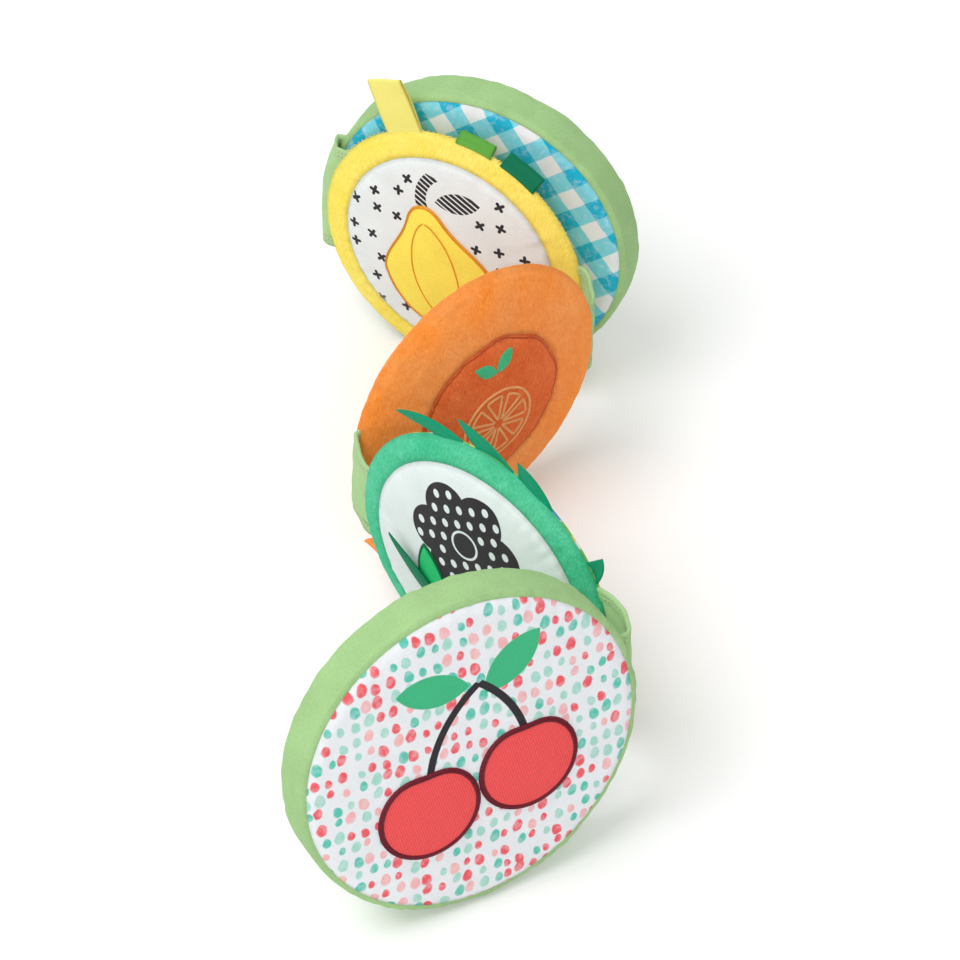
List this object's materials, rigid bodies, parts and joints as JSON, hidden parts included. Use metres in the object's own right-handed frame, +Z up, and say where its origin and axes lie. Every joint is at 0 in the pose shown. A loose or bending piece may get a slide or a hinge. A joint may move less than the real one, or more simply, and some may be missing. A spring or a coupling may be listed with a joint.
{
  "type": "tummy time roll",
  "caption": "Soft baby toy of round stuffed discs hinged edge to edge by fabric webs; it stands in a zigzag, folds into a drum and opens into a line.",
  "frame": {"origin": "on the floor, under the middle of the standing toy's bounding box", "axes": "+Z up, -Y towards the large front disc with the cherries, +X to the right of someone who faces that disc"},
  "size_m": [0.199, 0.5364, 0.2104],
  "materials": {
    "stuffing": "loose polyester fibre",
    "gusset_green": "brushed plain-weave cloth, light green",
    "pebble_print": "smooth white cloth printed with coral, pink and mint pebbles",
    "cherry_red": "red patch with a fine rib and a dark red satin-stitched edge",
    "emerald_plush": "short-pile plush",
    "flower_print": "smooth white cloth printed with a dotted black flower",
    "rear_print": "smooth cloth printed with coloured strokes",
    "stalk_green": "satin patch with a dark green stitched edge",
    "satin_green": "satin, dark green",
    "orange_plush": "short-pile plush",
    "orange_velour": "velour with stitched lines",
    "yellow_plush": "short-pile plush",
    "pear_print": "smooth white cloth printed with small black marks",
    "pear_yellow": "padded yellow patch with orange stitching",
    "ribbon_yellow": "satin ribbon",
    "ribbon_lime": "satin ribbon",
    "ribbon_green": "satin ribbon",
    "gingham": "turquoise and white checked cotton"
  },
  "bodies": {
    "front_disc": {"front_filling": "stuffing", "front_gusset": "gusset_green", "front_picture_panel": "pebble_print", "front_rear_panel": "gusset_green", "cherry_left": "cherry_red", "cherry_right": "cherry_red"},
    "green_disc": {"green_filling": "stuffing", "green_ring": "emerald_plush", "green_panel": "flower_print", "green_rear_cover": "rear_print", "flower_stalk": "stalk_green", "flower_leaf": "satin_green", "orange_tag": "orange_plush", "leaf_tag_1": "satin_green", "leaf_tag_2": "satin_green", "leaf_tag_3": "satin_green", "leaf_tag_4": "satin_green", "web_front_green": "gusset_green"},
    "orange_disc": {"orange_filling": "stuffing", "orange_ring": "orange_plush", "orange_panel": "orange_velour", "orange_rear_cover": "orange_plush", "web_green_orange": "gusset_green", "web_orange_yellow": "gusset_green"},
    "yellow_disc": {"yellow_filling": "stuffing", "yellow_ring": "yellow_plush", "yellow_panel": "pear_print", "yellow_rear_cover": "yellow_plush", "pear_patch": "pear_yellow", "ribbon_loop_yellow": "ribbon_yellow", "ribbon_loop_light_green": "ribbon_lime", "ribbon_loop_dark_green": "ribbon_green", "web_yellow_back": "gusset_green"},
    "back_disc": {"back_filling": "stuffing", "back_gusset": "gusset_green", "back_gingham_panel": "gingham", "back_rear_panel": "gusset_green"}
  },
  "joints": [
    {"name": "fold_front_green", "type": "hinge", "parent": "green_disc", "child": "front_disc", "pos_m": [0.07997, -0.14833, 0.09694], "axis": [-0.141, 0.1217, 0.9825], "range_deg": [-62, 111], "deforming": ["web_front_green"]},
    {"name": "fold_green_orange", "type": "hinge", "parent": "orange_disc", "child": "green_disc", "pos_m": [-0.06669, -0.0039, 0.0895], "axis": [0, 0, -1], "range_deg": [-66, 99], "deforming": ["web_green_orange"]},
    {"name": "fold_orange_yellow", "type": "hinge", "parent": "orange_disc", "child": "yellow_disc", "pos_m": [0.07534, 0.14307, 0.0895], "axis": [0, 0, -1], "range_deg": [-50, 112], "deforming": ["web_orange_yellow"]},
    {"name": "fold_yellow_back", "type": "hinge", "parent": "yellow_disc", "child": "back_disc", "pos_m": [-0.09385, 0.24492, 0.0895], "axis": [0, 0, 1], "range_deg": [0, 175], "deforming": ["web_yellow_back"]}
  ]
}
